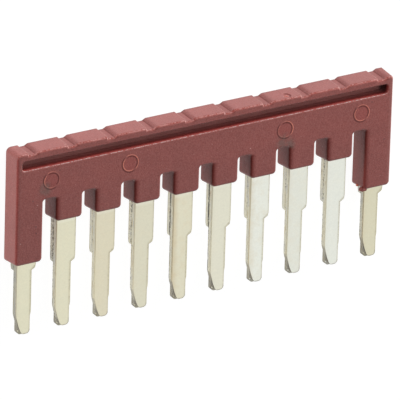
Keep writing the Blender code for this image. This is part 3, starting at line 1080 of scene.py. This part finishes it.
def metal_material():
    """Pale tin plating, with sheared sides, a seam between the leaves darkened by painted shade and stain,
    painted shade at the tips, and painted reflections that differ from pin to pin.
    """
    paint = Painter("plated_metal")
    fine = paint.noise(5.0, 2, 0.6)
    patches = paint.noise(0.9, 3, 0.6)
    sideways = paint.above(paint.math("ABSOLUTE", paint.normal_z), 0.97, 0.80)
    left_side = paint.above(paint.normal_x, -0.35, -0.85)
    facing_front = paint.above(paint.normal_z, 0.50, 0.80)
    left_rim, right_rim = pin_rim_masks(paint, facing_front, left_side)
    seam_shade_and_stain, specks, rear_rim = seam_masks(paint, left_side, fine)
    cut_face, cut_edge_shadow, rear_tip_shade, tip_rim, underside = tip_masks(paint, facing_front, left_side)
    left_shade = paint.all_of(
        facing_front,
        paint.above(paint.local_x(), PIN_EDGE + 0.85, PIN_EDGE + 0.05),
        paint.by_pin(PIN_SHADES),
        paint.varied(patches, 0.7, 1.2),
    )

    colour = paint.layered(paint.by_pin(PIN_FACES_WITH_REFLECTIONS), [
        (paint.all_of(paint.above(patches, 0.42, 0.70), paint.by_pin(PIN_STAINS)), 1, METAL_STAIN),
        (left_shade, 1, METAL_STAIN),
        # Painted highlight just below the short legs
        (paint.above(paint.y, SHORT_FOOT - 0.75, SHORT_FOOT - 0.45), 0.25, METAL_HIGHLIGHT),
        (sideways, 1, side_colour(paint, fine)),
        (left_rim, 0.90, paint.by_pin(PIN_RIMS)),
        (right_rim, 0.36, EDGE_TAN),
        (paint.all_of(right_rim, paint.above(fine, 0.52, 0.64)), 0.34, SIDE_BROWN),
        (rear_rim, 0.40, SIDE_BROWN),
        (specks, 0.80, SIDE_BROWN),
        (seam_shade_and_stain, 0.95, SEAM_DARK),
        # Painted shade on the rear tip, the cut and the underside, with a painted shadow by the cut's front
        # edge
        (rear_tip_shade, 0.62, SIDE_BROWN),
        (cut_face, 0.62, SIDE_BROWN),
        (cut_edge_shadow, 0.85, SEAM_DARK),
        (tip_rim, 0.55, SIDE_BROWN),
        (underside, 0.80, SIDE_BROWN),
    ])
    colour = paint.toned(colour, paint.varied(fine, 0.97, 1.03), paint.varied(patches, 0.98, 1.02))
    paint.surface("Base Color", colour)

    # Bare plating shines, the worked edges less, and the seam and tips darkened by painted shade, the seam
    # also by stain, hardly at all
    worked = paint.any_of(sideways, left_rim, right_rim, tip_rim)
    shaded_and_stained = paint.any_of(seam_shade_and_stain, cut_edge_shadow, paint.all_of(rear_tip_shade, 0.6))
    paint.surface("Metallic", paint.spread(worked, *METAL_METALLIC))
    paint.surface("Roughness", paint.spread(worked, *METAL_ROUGHNESS))
    paint.surface("Specular IOR Level", paint.spread(shaded_and_stained, *METAL_SHINE))
    paint.bumpy(paint.noise(3.0, 3, 0.6), *METAL_BUMP)
    return paint.material


def build_camera():
    """The photo's camera."""
    camera = link("photo_camera", bpy.data.cameras.new("photo_camera"))
    right = CAMERA_UP.cross(CAMERA_BACK).normalized()
    up = CAMERA_BACK.cross(right).normalized()
    turn = Matrix((right, up, CAMERA_BACK.normalized())).transposed().to_4x4()
    camera.matrix_world = Matrix.Translation(CAMERA_PLACE) @ turn
    camera.data.sensor_width = SENSOR
    camera.data.lens = FOCAL_PIXELS * SENSOR / PICTURE_PIXELS
    bpy.context.scene.camera = camera


def build_world():
    """White surroundings, with a dark card in front at the left that the edges facing it reflect."""
    world = bpy.data.worlds.new("pale_surroundings")
    bpy.context.scene.world = world
    world.use_nodes = True
    nodes = Nodes(world.node_tree)
    background = nodes.tree.nodes["Background"]
    path = nodes.node("ShaderNodeLightPath")
    level = nodes.spread(path.outputs["Is Glossy Ray"], WORLD_LIGHT, 1)
    toward = nodes.node("ShaderNodeTexCoord").outputs["Generated"]
    middle = Vector(CARD_DIRECTION).normalized()
    nearness = nodes.node("ShaderNodeVectorMath", toward, middle, operation="DOT_PRODUCT").outputs["Value"]
    outer, inner = (math.cos(math.radians(angle)) for angle in (CARD_OUTER, CARD_INNER))
    card = nodes.spread(nodes.above(nearness, outer, inner), 1, CARD_LEVEL)
    reflected = nodes.math("MULTIPLY", level, card)
    nodes.feed(background.inputs["Color"], WHITE)
    nodes.feed(background.inputs["Strength"], nodes.math("MAXIMUM", reflected, path.outputs["Is Camera Ray"]))


def build_lights():
    """Softboxes that face the bar. A strength of 1 lights a white face as white."""
    for name, toward, width, height, strength in SOFTBOXES:
        data = bpy.data.lights.new(name, "AREA")
        data.shape = "RECTANGLE"
        data.size = width
        data.size_y = height
        data.energy = strength * (math.pi * LAMP_DISTANCE) ** 2
        lamp = link(name, data)
        direction = Vector(toward).normalized()
        lamp.location = direction * LAMP_DISTANCE
        lamp.rotation_euler = (-direction).to_track_quat("-Z", "Y").to_euler()
        lamp.visible_camera = False


def build_stage():
    """A white floor that takes a faint shadow and is clear from below."""
    bpy.ops.mesh.primitive_plane_add(size=FLOOR_SIZE)
    floor = bpy.context.object
    floor.location.z = -FLOOR_DROP
    floor.name = "pale_floor"
    made = bpy.data.materials.new("pale_floor")
    made.use_nodes = True
    floor.data.materials.append(made)
    nodes = Nodes(made.node_tree)
    nodes.tree.nodes.clear()
    path = nodes.node("ShaderNodeLightPath")
    seen_or_mirrored = nodes.math("MAXIMUM", path.outputs["Is Camera Ray"], path.outputs["Is Glossy Ray"])
    lighting = nodes.node("ShaderNodeEmission", None, FLOOR_LIGHT)
    shadowed = nodes.node("ShaderNodeBsdfDiffuse", FLOOR_GREY)
    glow = nodes.node("ShaderNodeEmission", None, FLOOR_GLOW)
    shown = nodes.node("ShaderNodeAddShader", shadowed.outputs[0], glow.outputs[0])
    above = nodes.node("ShaderNodeMixShader", seen_or_mirrored, lighting.outputs[0], shown.outputs[0])
    backfacing = nodes.node("ShaderNodeNewGeometry").outputs["Backfacing"]
    clear = nodes.node("ShaderNodeBsdfTransparent")
    whole = nodes.node("ShaderNodeMixShader", backfacing, above.outputs[0], clear.outputs[0])
    nodes.node("ShaderNodeOutputMaterial", whole.outputs[0])


def main():
    """The whole scene: camera, light and floor, then the dressed pieces in place of the plain ones."""
    kept = set(frame["nodes"].values()) | set(frame["bodies"].values())
    for stray in [each for each in bpy.data.objects if each not in kept]:
        bpy.data.objects.remove(stray)
    bpy.context.scene.view_settings.view_transform = "Standard"
    build_camera()
    build_world()
    build_lights()
    build_stage()
    housing = build_housing()
    housing.data.materials.clear()
    housing.data.materials.append(plastic_material())
    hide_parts("insulating_housing")
    flash = build_flash()
    flash.data.materials.append(flash_material())
    metal = metal_material()
    front = build_comb("front_comb_stamping", 0, 0, False)
    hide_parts("front_contact_comb")
    rear = build_comb("rear_comb_stamping", REAR_PIN_DROP, REAR_PIN_INSET, True)
    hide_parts("rear_contact_comb")
    for comb in (front, rear):
        comb.data.materials.clear()
        comb.data.materials.append(metal)
    for piece in (housing, flash, front, rear):
        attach(piece, BODY)


main()
